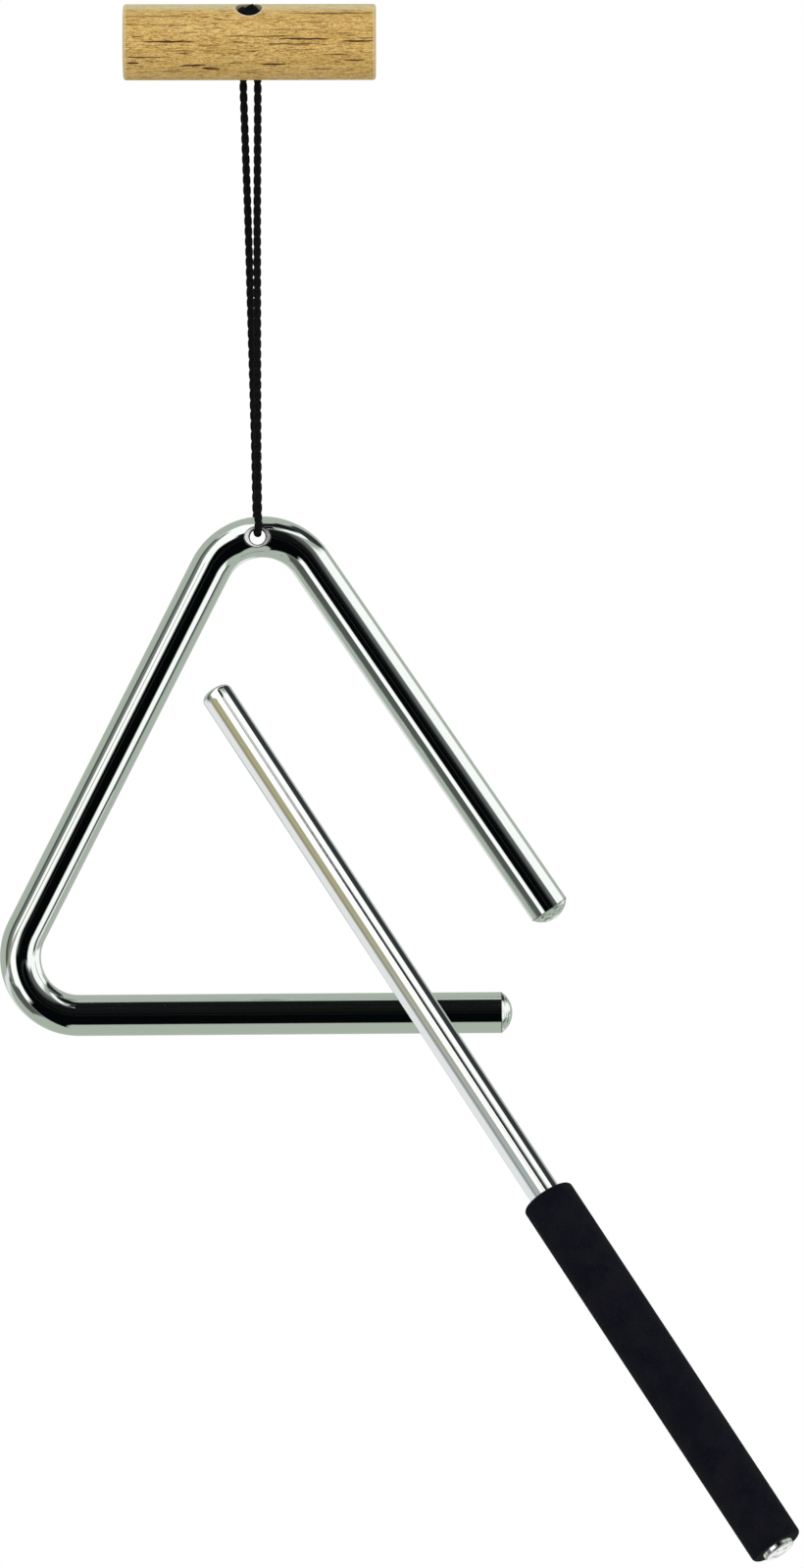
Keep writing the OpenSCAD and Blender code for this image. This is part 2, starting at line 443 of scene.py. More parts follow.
def exact_normals(obj, normal_at):
    """normal_at takes a face's middle and one of its corners, in millimetres, and the way that the flat face
    points. It gives the true surface's way at the corner."""
    mesh = obj.data
    normals = [None] * len(mesh.loops)
    for face in mesh.polygons:
        face.use_smooth = True
        middle, flat = np.array(face.center) / MM, np.array(face.normal)
        for i in face.loop_indices:
            corner = np.array(mesh.vertices[mesh.loops[i].vertex_index].co) / MM
            n = normal_at(middle, corner, flat)
            normals[i] = tuple(n / np.linalg.norm(n))
    mesh.normals_split_custom_set(normals)


def turned(name, outline, place, sides=96):
    """An outline of (along, radius) points turned about an axis. place takes a place with that axis as its third
    to the frame."""
    verts = []
    for along, radius in outline:
        for k in range(sides):
            a = 2 * math.pi * k / sides
            verts.append(place([radius * math.cos(a), radius * math.sin(a), along]))
    return new_object(name, verts, tube_faces(len(outline), sides))


EDGE_STEPS = 8    # faces across a rounded edge
END_RIM = 0.05    # width of a flat ring between a rounded edge and the end's cap


def rounded_outline(length, radius, low, high, spacing=2.0):
    """Half outline of a round bar with its end edges rounded by low and high."""
    out = [(0.0, radius - low - END_RIM)]
    for k in range(EDGE_STEPS + 1):
        a = math.pi / 2 * k / EDGE_STEPS
        out.append((low - low * math.cos(a), radius - low + low * math.sin(a)))
    count = int((length - low - high) / spacing)
    for k in range(1, count):
        out.append((low + (length - low - high) * k / count, radius))
    for k in range(EDGE_STEPS + 1):
        a = math.pi / 2 * (1 - k / EDGE_STEPS)
        out.append((length - high + high * math.cos(a), radius - high + high * math.sin(a)))
    out.append((length, radius - high - END_RIM))
    return out


# ---------------------------------------------------------------- wooden holder
ON = 0.01   # a face whose middle is this near a surface is part of it


def holder_normal(middle, corner, flat):
    m, p, f = unrolled(middle), unrolled(corner), unrolled(flat)
    reach = math.hypot(m[0], m[1])
    if reach < MOUTH_R + ON:
        if abs(m[2] - MOUTH_FLOOR) < ON:
            return rolled([0, 0, 1])
        if f[0] * m[0] + f[1] * m[1] < -0.8 * reach:   # it faces the hole's middle line
            return -rolled([p[0], p[1], 0])
    m, p, f = own_axes(middle), own_axes(corner), own_axes(flat)
    edge = HOLDER_LEN / 2 - HOLDER_ROUND
    if abs(m[0]) < edge:
        return leaned([0, p[1], p[2]])
    if abs(f[0]) > 0.999:   # the flat end
        return leaned([math.copysign(1, m[0]), 0, 0])
    r = math.hypot(p[1], p[2])
    out = max(r - HOLDER_R + HOLDER_ROUND, 0)
    along = math.copysign(max(abs(p[0]) - edge, 0), p[0])
    return leaned([along, p[1] / r * out, p[2] / r * out])


def add_holder():
    def place(p):
        return leaned([p[2] - HOLDER_LEN / 2, p[0], p[1]])

    outline = rounded_outline(HOLDER_LEN, HOLDER_R, HOLDER_ROUND, HOLDER_ROUND)
    obj = turned("holder_wood", outline, place, 144)
    past = 9.0   # the cutter reaches this far, well outside the wood
    steps = [(-past, BORE_R), (MOUTH_FLOOR, BORE_R), (MOUTH_FLOOR, MOUTH_R), (past, MOUTH_R)]
    cut(obj, turned("cutter", steps, rolled))
    exact_normals(obj, holder_normal)
    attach(obj, "holder")
    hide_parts("wooden_holder")
    return obj


# Dark pores that lie across the front: middle along the holder, height, length, thickness, darkness
PORES = [
    (-15.6, -0.4, 10.4, 0.34, 1.0), (-21.8, 0.6, 2.0, 0.26, 0.8), (-17.0, 2.9, 13.0, 0.24, 0.55),
    (2.0, 0.6, 14.6, 0.26, 0.75), (10.6, 0.1, 10.6, 0.36, 1.0), (8.4, -0.9, 11.4, 0.26, 0.75),
    (21.2, -0.35, 6.6, 0.34, 1.0), (22.8, 0.25, 3.4, 0.24, 0.8), (-20.2, -3.4, 7.6, 0.26, 0.9),
    (-22.6, -4.5, 2.8, 0.34, 1.0), (-10.9, -4.9, 5.4, 0.3, 1.0), (-7.5, -5.5, 3.6, 0.34, 1.0),
    (4.7, -4.7, 5.2, 0.32, 1.0), (16.8, -2.9, 5.2, 0.26, 0.75), (20.3, -4.0, 4.8, 0.3, 0.9),
    (15.9, 5.2, 17.4, 0.3, 0.75), (-18.0, 4.6, 12.0, 0.26, 0.55), (7.4, 1.9, 13.0, 0.22, 0.45),
    (-8.0, -1.2, 5.2, 0.24, 0.5), (-4.0, -2.6, 6.0, 0.22, 0.45), (-15.0, -6.0, 9.0, 0.24, 0.45),
    (-3.0, 3.8, 8.0, 0.22, 0.45), (12.0, 3.4, 7.0, 0.22, 0.45), (1.0, -6.1, 7.0, 0.24, 0.5),
    (13.6, -5.6, 5.0, 0.24, 0.55), (-11.6, 1.3, 4.0, 0.22, 0.5), (17.6, 1.2, 5.0, 0.22, 0.5),
    (-1.5, -0.6, 3.6, 0.22, 0.55), (10.8, -2.0, 5.6, 0.22, 0.5), (-14.2, -2.2, 6.4, 0.22, 0.5),
]

WANDER = 0.5   # the grain wanders by up to this much


def wood_pores(t, bent, fine):
    """How dark the pores are: fine ones everywhere, and the listed ones."""
    small = t.noise(t.place(bent, scale=(0.28, 5.2, 5.2)), 1.0, 2, 0.6)
    pores = t.step(small, 0.62, 0.66, 0, 0.85)
    for x, z, length, thick, dark in PORES:
        middle = (x, -math.sqrt(HOLDER_R ** 2 - z ** 2), z)
        scale = (2 / length, 0.4, 1.9 / thick)
        shift = tuple(-(c + WANDER / 2) * s for c, s in zip(middle, scale))
        reach = t.vector("LENGTH", t.place(bent, scale=scale, location=shift))
        pores = t.math("MAXIMUM", pores, t.below(reach, 0.75, 1.15, dark))
    return t.math("MULTIPLY", pores, t.step(fine, 0.2, 0.45, 0.75, 1))


def painted_mouth_light(t, mm, colour):
    """A painted pale highlight round the cross hole's mouth, and painted shade inside the hole."""
    upright = t.node(
        "ShaderNodeVectorRotate", {"rotation_type": "X_AXIS"}, Vector=mm, Angle=-HOLDER_ROLL
    ).outputs[0]
    reach = t.vector("LENGTH", t.vector("MULTIPLY", upright, (1, 1, 0)))
    top = t.step(t.axes(upright)[2], 5.0, 6.0)
    # painted highlight: a pale ring on the top round the mouth
    painted_rim = t.math("MULTIPLY", t.below(reach, MOUTH_R + 0.05, MOUTH_R + 0.4, 0.85), top)
    colour = t.mix(painted_rim, colour, (0.62, 0.57, 0.36))
    # painted shade: the mouth and bore are painted dark
    return t.mix(t.below(reach, MOUTH_R - 0.03, MOUTH_R + 0.02), colour, (0.13, 0.06, 0.02))


def end_grain(t, mm):
    """Rings and dark dots."""
    rings = t.node(
        "ShaderNodeTexWave", {"wave_type": "RINGS", "rings_direction": "X"},
        Vector=t.place(mm, location=(0, 14, 9)), Scale=0.35, Distortion=1.5, Detail=2.0,
    ).outputs[1]
    dots = t.noise(t.place(mm, scale=(0.2, 1, 1)), 2.4, 2, 0.7)
    colour = t.mix(rings, (0.42, 0.26, 0.1), (0.58, 0.39, 0.17))
    return t.mix(t.step(dots, 0.58, 0.68, 0, 0.7), colour, (0.16, 0.08, 0.03))


def wood_material():
    made, t = material("pale_wood")
    mm = millimetres(t)
    own = t.place(mm, rotation=(0, -HOLDER_LEAN, 0))
    waves = t.node("ShaderNodeTexNoise", Vector=t.place(own, scale=(0.3, 0.9, 0.9)), Scale=1.0).outputs["Color"]
    bent = t.vector("ADD", own, t.scaled(waves, WANDER))
    grain = t.noise(t.place(bent, scale=(0.05, 0.8, 0.8)), 1.0, 4, 0.65)
    fine = t.noise(t.place(bent, scale=(0.6, 5.0, 5.0)), 1.0, 3, 0.75)
    speckle = t.noise(t.place(own, scale=(0.45, 1.3, 1.3)), 4.2, 2, 0.8)
    colour = t.mix(t.step(grain, 0.3, 0.7), (0.69, 0.475, 0.16), (0.54, 0.335, 0.086))
    colour = t.mix(t.step(fine, 0.46, 0.64), colour, (0.32, 0.165, 0.026))
    colour = t.mix(t.step(speckle, 0.52, 0.66, 0, 0.65), colour, (0.82, 0.6, 0.235))
    colour = t.mix(t.below(speckle, 0.34, 0.47, 0.6), colour, (0.27, 0.135, 0.02))
    pores = wood_pores(t, bent, fine)
    colour = t.mix(pores, colour, (0.06, 0.014, 0.003))
    # painted pale grey sheen along the top, and paler along the end edges
    along, _, height = t.axes(own)
    from_middle = t.math("ABSOLUTE", along)
    half = HOLDER_LEN / 2
    # painted sheen: the top of the dowel is painted pale grey where light falls on it
    top_sheen = t.math("MULTIPLY", t.step(height, 5.4, 6.7, 0, 0.65), t.step(grain, 0.25, 0.6, 0.6, 1))
    colour = t.mix(top_sheen, colour, (0.6, 0.59, 0.38))
    colour = t.mix(t.step(from_middle, half - 0.75, half - 0.4, 0, 0.55), colour, (0.66, 0.55, 0.3))
    colour = painted_mouth_light(t, mm, colour)
    colour = t.mix(t.step(from_middle, half - 0.12, half - 0.02), colour, end_grain(t, mm))
    relief = t.math("SUBTRACT", t.math("MULTIPLY", fine, 0.4), pores)
    t.principled(
        Base_Color=colour, Roughness=t.step(fine, 0.2, 0.8, 0.45, 0.65), Normal=t.bump(relief, 0.6, 0.00012),
        Specular_IOR_Level=0.3,
    )
    return made


holder = add_holder()
holder.visible_glossy = False   # the photographed triangle doesn't mirror it
dress(holder, wood_material())


# ---------------------------------------------------------------- bent rod
def rod_places():
    """Two functions, for places and for ways, that lead from the plane in which the rod is laid out to the frame.
    The rod's top corner is the plane's zero and its closed side lies along +x."""
    way = math.pi + TOP_ANGLE / 2 + HOLE_TURN
    middle = np.array([BEND_R / math.tan(TOP_ANGLE / 2), BEND_R])
    shift = -middle - BEND_R * np.array([math.cos(way), math.sin(way)])
    a = -math.pi / 2 - TOP_ANGLE / 2 + HANG_TURN
    c, s = math.cos(a), math.sin(a)

    def place_of(p):
        x, y = p[0] + shift[0], p[1] + shift[1]
        return np.array([x * c - y * s, HANG_Y - p[2], x * s + y * c - HOLE_DROP])

    def way_of(v):
        return np.array([v[0] * c - v[1] * s, -v[2], v[0] * s + v[1] * c])

    return place_of, way_of


to_frame, way_to_frame = rod_places()


def from_frame(p):
    """From the frame back to the rod's own plane."""
    x, y = way_to_frame([1, 0, 0]), way_to_frame([0, 1, 0])
    v = p - to_frame([0, 0, 0])
    return np.array([np.dot(v, x), np.dot(v, y), HANG_Y - p[1]])


ARM_SPACING, BEND_STEPS = 4.0, 72    # rings along an arm are this far apart, and a bend has this many steps
ARM_SLACK, BEND_SLACK = 1e-3, 1e-4   # millimetres and radians past its end that still count as on it


class Straight:
    """The middle line of an arm, from a to b in the direction d."""

    def __init__(self, a, b):
        self.a, self.b = np.array(a, float), np.array(b, float)
        self.length = np.linalg.norm(self.b - self.a)
        self.d = (self.b - self.a) / self.length

    def nearest(self, p):
        """The nearest place on the line, also past its ends."""
        return self.a + self.d * np.dot(p - self.a, self.d)

    def covers(self, p):
        return -ARM_SLACK <= np.dot(p - self.a, self.d) <= self.length + ARM_SLACK

    def points(self):
        """Places along it, each with the direction there."""
        count = max(2, int(self.length / ARM_SPACING))
        return [(self.a + (self.b - self.a) * k / count, self.d) for k in range(count + 1)]


class Bend:
    """The middle line of a bend: an arc about c, anticlockwise between two angles."""

    def __init__(self, centre, start, end):
        self.c, self.start, self.end = np.array(centre, float), start, end

    def nearest(self, p):
        v = p - self.c
        v[2] = 0
        return self.c + v / np.linalg.norm(v) * BEND_R

    def covers(self, p):
        a = math.atan2(p[1] - self.c[1], p[0] - self.c[0])
        low, high = self.start - BEND_SLACK, self.end + BEND_SLACK
        return any(low <= a + k * 2 * math.pi <= high for k in (-1, 0, 1))

    def points(self):
        out = []
        for k in range(BEND_STEPS + 1):
            a = self.start + (self.end - self.start) * k / BEND_STEPS
            across, along = [math.cos(a), math.sin(a), 0], [-math.sin(a), math.cos(a), 0]
            out.append((self.c + BEND_R * np.array(across), np.array(along)))
        return out


def rod_line():
    """The rod's middle line from the open side's end round to the lower bar's end, in its own plane."""
    top_run = BEND_R / math.tan(TOP_ANGLE / 2)
    low_run = BEND_R / math.tan(LOW_ANGLE / 2)
    open_way = np.array([math.cos(TOP_ANGLE), math.sin(TOP_ANGLE), 0])
    bar_way = np.array([-math.cos(LOW_ANGLE), math.sin(LOW_ANGLE), 0])
    corner = np.array([CLOSED_SIDE, 0, 0])
    half = math.pi / 2
    return [
        Straight(open_way * OPEN_SIDE, open_way * top_run),
        Bend([top_run, BEND_R, 0], TOP_ANGLE + half, 3 * half),
        Straight([top_run, 0, 0], [CLOSED_SIDE - low_run, 0, 0]),
        Bend([CLOSED_SIDE - low_run, BEND_R, 0], -half, half - LOW_ANGLE),
        Straight(corner + bar_way * low_run, corner + bar_way * BAR_LEN),
    ]


ROD_LINE = rod_line()
# The rod's two ends, each with the way that it points
ROD_ENDS = [(ROD_LINE[0].a, -ROD_LINE[0].d), (ROD_LINE[-1].b, ROD_LINE[-1].d)]
ROD_SIDES = 96
DOME_R = (ROD_R ** 2 + DOME_H ** 2) / (2 * DOME_H)
DOME_STEPS = 12


def dome_ring(end, way, k):
    """Middle and radius of a ring on a domed end. Ring 0 is the tip and ring DOME_STEPS the foot."""
    a = math.asin(ROD_R / DOME_R) * k / DOME_STEPS
    return end + way * (DOME_H - DOME_R + DOME_R * math.cos(a)), DOME_R * math.sin(a)


def rod_rings():
    """Middle, direction and radius of every ring from one domed end to the other."""
    rings = []
    end, way = ROD_ENDS[0]
    for k in range(1, DOME_STEPS + 1):
        p, r = dome_ring(end, way, k)
        rings.append((p, -way, r))
    for piece in ROD_LINE:
        rings += [(p, d, ROD_R) for p, d in piece.points()[1:]]
    end, way = ROD_ENDS[1]
    for k in range(DOME_STEPS - 1, 0, -1):
        p, r = dome_ring(end, way, k)
        rings.append((p, way, r))
    return rings


def add_triangle():
    """A tip, the rings and another tip, with the cord hole cut out."""
    rings = rod_rings()
    tips = [to_frame(end + way * DOME_H) for end, way in ROD_ENDS]
    up = np.array([0, 0, 1])
    verts, faces = [tips[0]], []
    for p, d, r in rings:
        side = np.cross(up, d)
        for k in range(ROD_SIDES):
            a = 2 * math.pi * k / ROD_SIDES
            verts.append(to_frame(p + r * (math.cos(a) * side + math.sin(a) * up)))
    verts.append(tips[1])
    for i in range(len(rings) - 1):
        a, b = 1 + i * ROD_SIDES, 1 + (i + 1) * ROD_SIDES
        for k in range(ROD_SIDES):
            n = (k + 1) % ROD_SIDES
            faces.append((a + k, b + k, b + n, a + n))
    last, tip = 1 + (len(rings) - 1) * ROD_SIDES, len(verts) - 1
    for k in range(ROD_SIDES):
        n = (k + 1) % ROD_SIDES
        faces.append((0, 1 + k, 1 + n))
        faces.append((tip, last + n, last + k))
    obj = new_object("triangle_rod", verts, faces)
    flip_outward(obj)
    cut(obj, hole_cutter())
    exact_normals(obj, triangle_normal)
    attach(obj, "triangle")
    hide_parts("triangle")
    return obj


def hole_cutter():
    """The cord hole, with a cone at each end that goes on past the rod."""
    slope = SINK_R - HOLE_R
    past = 6.0   # the cutter reaches this far, well outside the rod
    wide = SINK_R + (past - ROD_R)
    steps = [
        (-past, wide), (-ROD_R, SINK_R), (slope - ROD_R, HOLE_R),
        (ROD_R - slope, HOLE_R), (ROD_R, SINK_R), (past, wide),
    ]

    def place(p):
        return np.array([p[0], HANG_Y - p[2], p[1] - HOLE_DROP])

    cutter = turned("cutter", steps, place)
    flip_outward(cutter)
    return cutter


HOLE_NEAR = SINK_R + 0.8   # every face in the hole is nearer than this to its middle line
SKIN = 0.002               # and its middle is deeper than this under the rod's surface


def hole_normal(middle, corner, flat):
    """The way of a face inside the cord hole, or nothing for any other face."""
    x, z = middle[0], middle[2] + HOLE_DROP
    reach = math.hypot(x, z)
    if reach >= HOLE_NEAR or (flat[0] * x + flat[2] * z) / reach >= -0.5:
        return None
    m = from_frame(middle)
    if np.linalg.norm(m - ROD_LINE[1].nearest(m)) >= ROD_R - SKIN:
        return None
    out = np.array([corner[0], 0, corner[2] + HOLE_DROP])
    out /= np.linalg.norm(out)
    if abs(flat[1]) < 0.3:   # the bore, not a cone
        return -out
    return -out + np.array([0, math.copysign(1, flat[1]), 0])


def triangle_normal(middle, corner, flat):
    inside = hole_normal(middle, corner, flat)
    if inside is not None:
        return inside
    m, c = from_frame(middle), from_frame(corner)
    for end, way in ROD_ENDS:
        if np.dot(m - end, way) > 0 and np.linalg.norm(m - end) < 2 * ROD_R:
            return way_to_frame(c - (end + way * (DOME_H - DOME_R)))
    near = [piece for piece in ROD_LINE if piece.covers(m)]
    best = min(near, key=lambda piece: abs(np.linalg.norm(m - piece.nearest(m)) - ROD_R))
    return way_to_frame(c - best.nearest(c))


def past_crease(t, mm, point, way, reach):
    """How far a point of a rod lies past the crease at its end, and 1 near that end, 0 elsewhere."""
    apart = t.vector("SUBTRACT", mm, tuple(point))
    near = t.below(t.vector("LENGTH", apart), reach, reach + 0.4)
    return t.vector("DOT_PRODUCT", apart, tuple(way)), near


def turned_end(t, mm, point, way, reach, colour, normal):
    """Turning marks and scratches on the domed or flat end of a rod, with a painted dark shade line at its crease.
    """
    along, near = past_crease(t, mm, point, way, reach)
    ended = t.math("MULTIPLY", near, t.step(along, -0.04, 0.06))
    marks = t.vector("ADD", mm, t.scaled(tuple(way), t.math("MULTIPLY", along, 3.0)))
    ridges = t.math("MULTIPLY", t.noise(marks, 0.34, 1, 0.5), ended)
    # painted shade: a dark line along the crease
    crease_shade = t.math("MULTIPLY", near, t.below(t.math("ABSOLUTE", along), 0.05, 0.14, 0.75))
    scratch = t.math("MULTIPLY", ended, t.step(t.noise(marks, 0.75, 2, 0.6), 0.57, 0.62, 0, 0.75))
    colour = t.mix(t.math("MAXIMUM", crease_shade, scratch), colour, (0.09, 0.1, 0.095))
    return colour, t.bump(ridges, 0.6, 0.0008, Normal=normal), ended


def painted_hole_light(t, mm, colour, rough):
    """The drilled and countersunk hole is painted as light and shade: white on its left side and grey on its
    right, with painted dark shade lines at its edge inside and out.
    """
    from_hole = t.place(mm, location=(0, -HANG_Y, HOLE_DROP))
    right, depth, _ = t.axes(from_hole)
    reach = t.vector("LENGTH", t.vector("MULTIPLY", from_hole, (1, 0, 1)))
    from_line = t.vector("LENGTH", t.vector("MULTIPLY", from_hole, (0, 1, 1)))
    # the cone lies where the depth is the reach plus a fixed length
    cone = t.math("ADD", reach, ROD_R - SINK_R)
    off_cone = t.math("ABSOLUTE", t.math("SUBTRACT", t.math("ABSOLUTE", depth), cone))
    in_sink = t.below(reach, SINK_R - 0.02, SINK_R + 0.04)
    in_cone = t.math("MULTIPLY", t.below(off_cone, 0.03, 0.08), in_sink)
    inside = t.math("MAXIMUM", in_cone, t.below(reach, HOLE_R + 0.02, HOLE_R + 0.05))
    scratch = t.noise(t.place(mm, scale=(1.5, 6, 6)), 1.0, 3, 0.7)
    # painted light and shade: white towards the hole's left side, grey with scratches towards its right
    side_shade = t.math("MULTIPLY", t.step(right, -0.4, 1.2, 0.15, 1), t.step(scratch, 0.3, 0.62, 0.35, 1))
    hole_paint = t.mix(side_shade, (1.0, 1.0, 1.0), (0.2, 0.21, 0.2))
    # painted shade: black lines at the bore's lip and at the outer rim of the cone
    lip_shade = t.below(reach, HOLE_R + 0.12, HOLE_R + 0.22)
    painted_rim = t.step(from_line, ROD_R - 0.2, ROD_R - 0.13)
    hole_paint = t.mix(t.math("MAXIMUM", lip_shade, painted_rim), hole_paint, (0.004, 0.004, 0.005))
    rough = t.math("MAXIMUM", rough, t.math("MULTIPLY", inside, 0.4))
    return t.mix(inside, colour, hole_paint), rough, t.step(inside, 0, 1, 1.0, 0.05)


def plating_material(name, tint, rough_low, rough_high, wave, ends, hole=False):
    """Plated steel. ends lists the turned ends: the crease's middle, the way it points and how far marks reach."""
    made, t = material(name)
    mm = millimetres(t)
    smear = t.noise(mm, 0.35, 3, 0.6)
    fine = t.noise(mm, 6.0, 3, 0.7)
    specks = t.noise(mm, 2.2, 1, 0.5)
    colour = t.mix(t.step(specks, 0.74, 0.8, 0, 0.3), tint, (0.45, 0.47, 0.45))
    rough = t.math("ADD", t.step(smear, 0.3, 0.7, rough_low, rough_high), t.step(specks, 0.72, 0.82, 0, 0.08))
    normal = t.bump(t.math("ADD", smear, t.math("MULTIPLY", fine, 0.02)), wave, 0.0002)
    for point, way, reach in ends:
        colour, normal, ended = turned_end(t, mm, point, way, reach, colour, normal)
        rough = t.math("MAXIMUM", rough, t.math("MULTIPLY", ended, 0.07))
    metal = 1.0
    if hole:
        colour, rough, metal = painted_hole_light(t, mm, colour, rough)
    t.principled(Metallic=metal, Base_Color=colour, Roughness=rough, Normal=normal)
    return made


triangle = add_triangle()
TRIANGLE_ENDS = [(to_frame(end), way_to_frame(way), 1.3 * ROD_R) for end, way in ROD_ENDS]
dress(
    triangle,
    plating_material("triangle_plating", (0.8, 0.82, 0.81), 0.012, 0.03, 0.025, TRIANGLE_ENDS, hole=True),
)


# ---------------------------------------------------------------- beater
def beater_to_frame(p):
    """From the beater's own axes, Z along it from its tip, to the frame."""
    x, y, z = p
    c, s = math.cos(BEATER_TILT), math.sin(BEATER_TILT)
    y, z = y * c - z * s, y * s + z * c
    a = math.pi / 2 + BEATER_SLOPE
    x, z = x * math.cos(a) + z * math.sin(a), -x * math.sin(a) + z * math.cos(a)
    return BEATER_TIP + np.array([x, y, z])


def add_beater():
    rod = turned("beater_bar", rounded_outline(BEATER_LEN, BEATER_R, TIP_ROUND, BUTT_ROUND), beater_to_frame)
    start = BEATER_LEN - BUTT_OUT - GRIP_LEN
    outline = [(a + start, r) for a, r in rounded_outline(GRIP_LEN, GRIP_R, GRIP_ROUND, GRIP_ROUND, spacing=4.0)]
    bore = BEATER_R + 0.02   # clear of the rod's own surface
    grip = turned("beater_foam", [(start, bore)] + outline + [(start + GRIP_LEN, bore)], beater_to_frame)
    for obj, node in ((rod, "beater_rod"), (grip, "beater_grip")):
        flip_outward(obj)
        obj.visible_glossy = False   # the photographed triangle doesn't mirror it
        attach(obj, "beater")
        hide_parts(node)
    return rod, grip


def foam_material():
    made, t = material("black_foam")
    mm = millimetres(t)
    cells = t.noise(mm, 9.0, 3, 0.75)
    broad = t.noise(mm, 0.25, 2, 0.5)
    specks = t.noise(mm, 5.0, 1, 0.5)
    colour = t.mix(t.step(cells, 0.4, 0.75), (0.0014, 0.0015, 0.0046), (0.0075, 0.008, 0.015))
    colour = t.mix(t.step(specks, 0.7, 0.76, 0, 0.6), colour, (0.05, 0.052, 0.07))
    colour = t.mix(t.step(broad, 0.3, 0.7, 0, 0.4), colour, (0.009, 0.009, 0.012))
    t.principled(
        Base_Color=colour, Roughness=t.step(cells, 0.3, 0.7, 0.75, 0.95), Normal=t.bump(cells, 0.4, 0.00012),
        Specular_IOR_Level=0.1,
    )
    return made


beater_rod, beater_grip = add_beater()
BUTT = beater_to_frame([0, 0, BEATER_LEN - BUTT_ROUND])
BUTT_WAY = BUTT - beater_to_frame([0, 0, BEATER_LEN - BUTT_ROUND - 1])
dress(
    beater_rod,
    plating_material("beater_plating", (0.86, 0.87, 0.86), 0.02, 0.04, 0.02, [(BUTT, BUTT_WAY, 1.4 * BEATER_R)]),
)
dress(beater_grip, foam_material())


# ---------------------------------------------------------------- studio
# What the plated metal mirrors: soft white panels beside a dark middle, and a tan one along the beater. Each is
# a patch of the sky, and a later one lies over an earlier one: degrees to the right of the camera's side from
# and to, degrees up from and to, softness, how far its sides lean to the left for each degree up, how far its
# edges fall for each degree to the right, and its light.
PANELS = [
    (-24, 14, 24, 76, 3, 0, 0, (1.2, 1.22, 1.2)),
    (-60, -22, -29, 76, 3, 0, 0, (1.2, 1.22, 1.2)),
    (-44, -12, -48, -4, 3, 0, -0.64, (0.0015, 0.002, 0.0025)),
    (-78, -22, 42, 76, 3, 0, 0, (1.2, 1.22, 1.2)),
    (56, 124, -5, 38.5, 4, 0.1, 0, (1.15, 1.17, 1.15)),
    (36, 62, -6, 10, 3, 0, 0, (1.15, 1.17, 1.15)),
    (97, 135, -12, 18, 4, 0, 0, (1.15, 1.17, 1.15)),
    (-3, 34, 41.3, 46.8, 1.5, 0, -0.27, (1.1, 1.12, 1.1)),
    (28, 80, 50, 57.5, 1.5, 0, 0, (1.15, 1.17, 1.15)),
    (45, 74, -36, 0, 2, 0, 0, (1.15, 1.17, 1.15)),
    (146, 172, -42, -20, 5, 0, 0, (1.0, 1.0, 1.0)),
    (-88, -46, -50, -20, 2, 0, 0, (0.1, 0.115, 0.1)),
    (-90, -73, -20, 52, 2, 0, 0, (0.09, 0.105, 0.09)),
    (-74, -57, -20, 60, 4, 0, 0, (0.2, 0.23, 0.2)),
    (-168, -106, -23, -12.5, 2, 0, 0, (0.86, 0.88, 0.9)),
    (-107, -80, 10.5, 18.5, 1.5, 0, -0.31, (0.86, 0.88, 0.9)),
    (-81, -37, 34, 44, 1.5, 0, -0.63, (0.42, 0.47, 0.48)),
    (-81, -37, 38.5, 45, 0.5, 0, -0.63, (0.45, 0.425, 0.265)),
    (1.2, 14, 36, 60, 0.6, 0, 0, (0.007, 0.008, 0.008)),
    (-3, 14, 42.2, 44, 0.5, 0, -0.44, (1.1, 1.12, 1.1)),
    (-70, -65.5, 33, 47, 1.5, 0, -0.63, (0.2, 0.19, 0.15)),
    (75, 91, -42, -10, 2, 0, 0, (0.09, 0.11, 0.09)),
    (24, 60, 9, 47, 4, 0.35, 0, (0.13, 0.14, 0.14)),
    (24, 42, 4, 47, 4, 0.35, 0, (0.06, 0.066, 0.066)),
    (-25, 42, -54, 2, 3, 0, 0, (0.0015, 0.002, 0.0025)),
    (-14.5, 31, 0, 22, 2, 0.35, 0, (0.0015, 0.002, 0.0025)),
    (-3.5, 31, 10, 32.5, 2, 0.35, 0, (0.007, 0.008, 0.008)),
    (-2, 19, 30, 39.5, 1.2, 0, 0, (0.007, 0.008, 0.008)),
    (-3.4, 1.8, 30, 54, 0.6, 0, 0, (0.009, 0.01, 0.01)),
    (-4.8, 1.8, 44, 54, 0.6, 0, 0, (0.009, 0.01, 0.01)),
    (-5, 3, 50, 62, 1.5, 0, 0, (0.007, 0.008, 0.008)),
    (-7, 100, 60, 80, 2, 0, 0, (0.009, 0.01, 0.01)),
    (79, 142, 77, 108, 3, 0, 0.36, (0.035, 0.04, 0.045)),
]
SKY_BASE = (0.47, 0.53, 0.455)   # mirrored where there is no panel
DIFFUSE_LIGHT = 0.78             # what lights everything that isn't a mirror


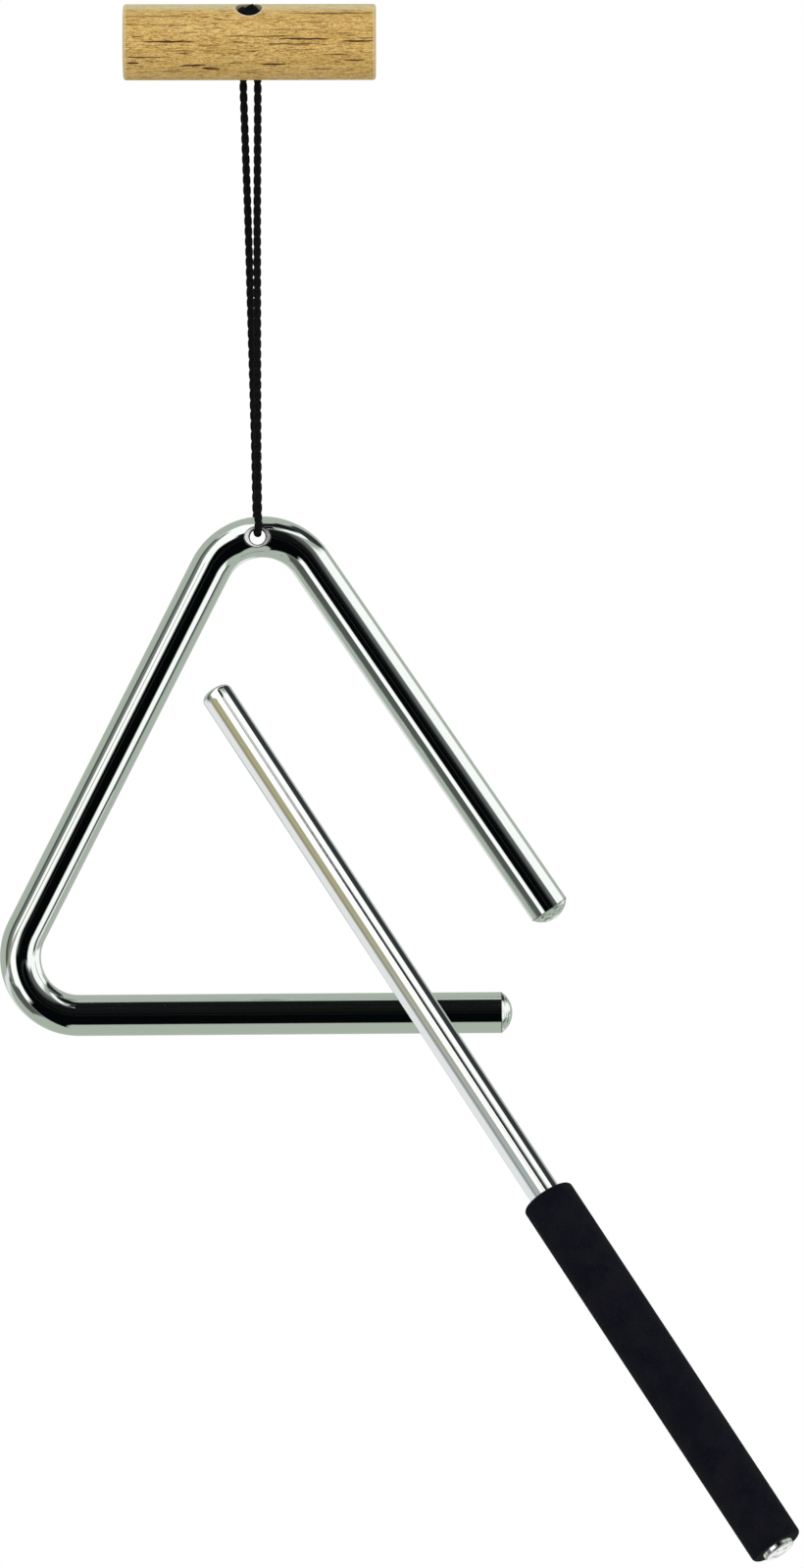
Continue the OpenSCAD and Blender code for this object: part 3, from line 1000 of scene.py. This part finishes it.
def add_world():
    """The camera sees white, a mirror sees the panels, and any other ray sees an even light."""
    world = bpy.data.worlds.new("studio")
    scene.world = world
    world.use_nodes = True
    t = Tree(world.node_tree)

    def band(value, low, high, soft):
        """1 between low and high, 0 outside."""
        return t.math("MULTIPLY", t.step(value, low - soft, low + soft), t.below(value, high - soft, high + soft))

    x, y, z = t.axes(t.node("ShaderNodeTexCoord").outputs["Generated"])
    degrees = math.degrees(1)
    turn = t.math("MULTIPLY", t.math("ARCTAN2", x, t.math("MULTIPLY", y, -1)), degrees)
    rise = t.math("MULTIPLY", t.math("ARCSINE", z), degrees)
    colour = SKY_BASE
    for left, right, low, high, soft, lean, fall, light in PANELS:
        across = t.math("MULTIPLY_ADD", rise, lean, turn) if lean else turn
        up = t.math("MULTIPLY_ADD", turn, fall, rise) if fall else rise
        inside = t.math("MULTIPLY", band(across, left, right, soft), band(up, low, high, soft))
        colour = t.mix(inside, colour, light)
    ray = t.node("ShaderNodeLightPath").outputs
    even = t.node("ShaderNodeBackground", Color=(1, 1, 1, 1), Strength=DIFFUSE_LIGHT)
    mirrored = t.node("ShaderNodeBackground", Color=colour, Strength=1.0)
    white = t.node("ShaderNodeBackground", Color=(1, 1, 1, 1), Strength=1.0)
    unseen = t.node("ShaderNodeMixShader", i0=ray["Is Glossy Ray"], i1=even.outputs[0], i2=mirrored.outputs[0])
    seen = t.node("ShaderNodeMixShader", i0=ray["Is Camera Ray"], i1=unseen.outputs[0], i2=white.outputs[0])
    t.finish(seen, "ShaderNodeOutputWorld")


# name, place, aims at, width, watts
LAMPS = [
    ("key", (-0.6, -1.1, 0.5), (0, 0, -0.1), 0.9, 5.0),
    ("fill", (0.9, -1.2, 0.25), (0, 0, -0.15), 0.5, 3.8),
    ("top", (0, 0.1, 1.3), (0, 0, 0), 0.6, 1.2),
]


def add_lamps():
    for name, place, aim, width, power in LAMPS:
        data = bpy.data.lights.new(name, "AREA")
        data.size = width
        data.energy = power
        lamp = bpy.data.objects.new(name, data)
        lamp.location = place
        lamp.rotation_euler = (Vector(aim) - Vector(place)).to_track_quat("-Z", "Y").to_euler()
        lamp.visible_glossy = False   # the metal mirrors the panels instead
        scene.collection.objects.link(lamp)


FLOOR_HALF, FLOOR_HEIGHT = 3400, -620   # half its width, and its place under the frame's zero


def add_floor():
    corners = ((-1, -1), (1, -1), (1, 1), (-1, 1))
    verts = [(x * FLOOR_HALF, y * FLOOR_HALF, FLOOR_HEIGHT) for x, y in corners]
    floor = new_object("floor", verts, [(0, 1, 2, 3)])
    made, t = material("pale_floor")
    tone = t.mix(t.noise(millimetres(t), 0.004, 2), (0.85, 0.85, 0.84), (0.88, 0.88, 0.87))
    t.principled(Base_Color=tone, Roughness=0.9, Specular_IOR_Level=0.0)
    floor.data.materials.append(made)
    floor.visible_glossy = False


add_world()
add_lamps()
add_floor()
scene.view_settings.view_transform = "Standard"
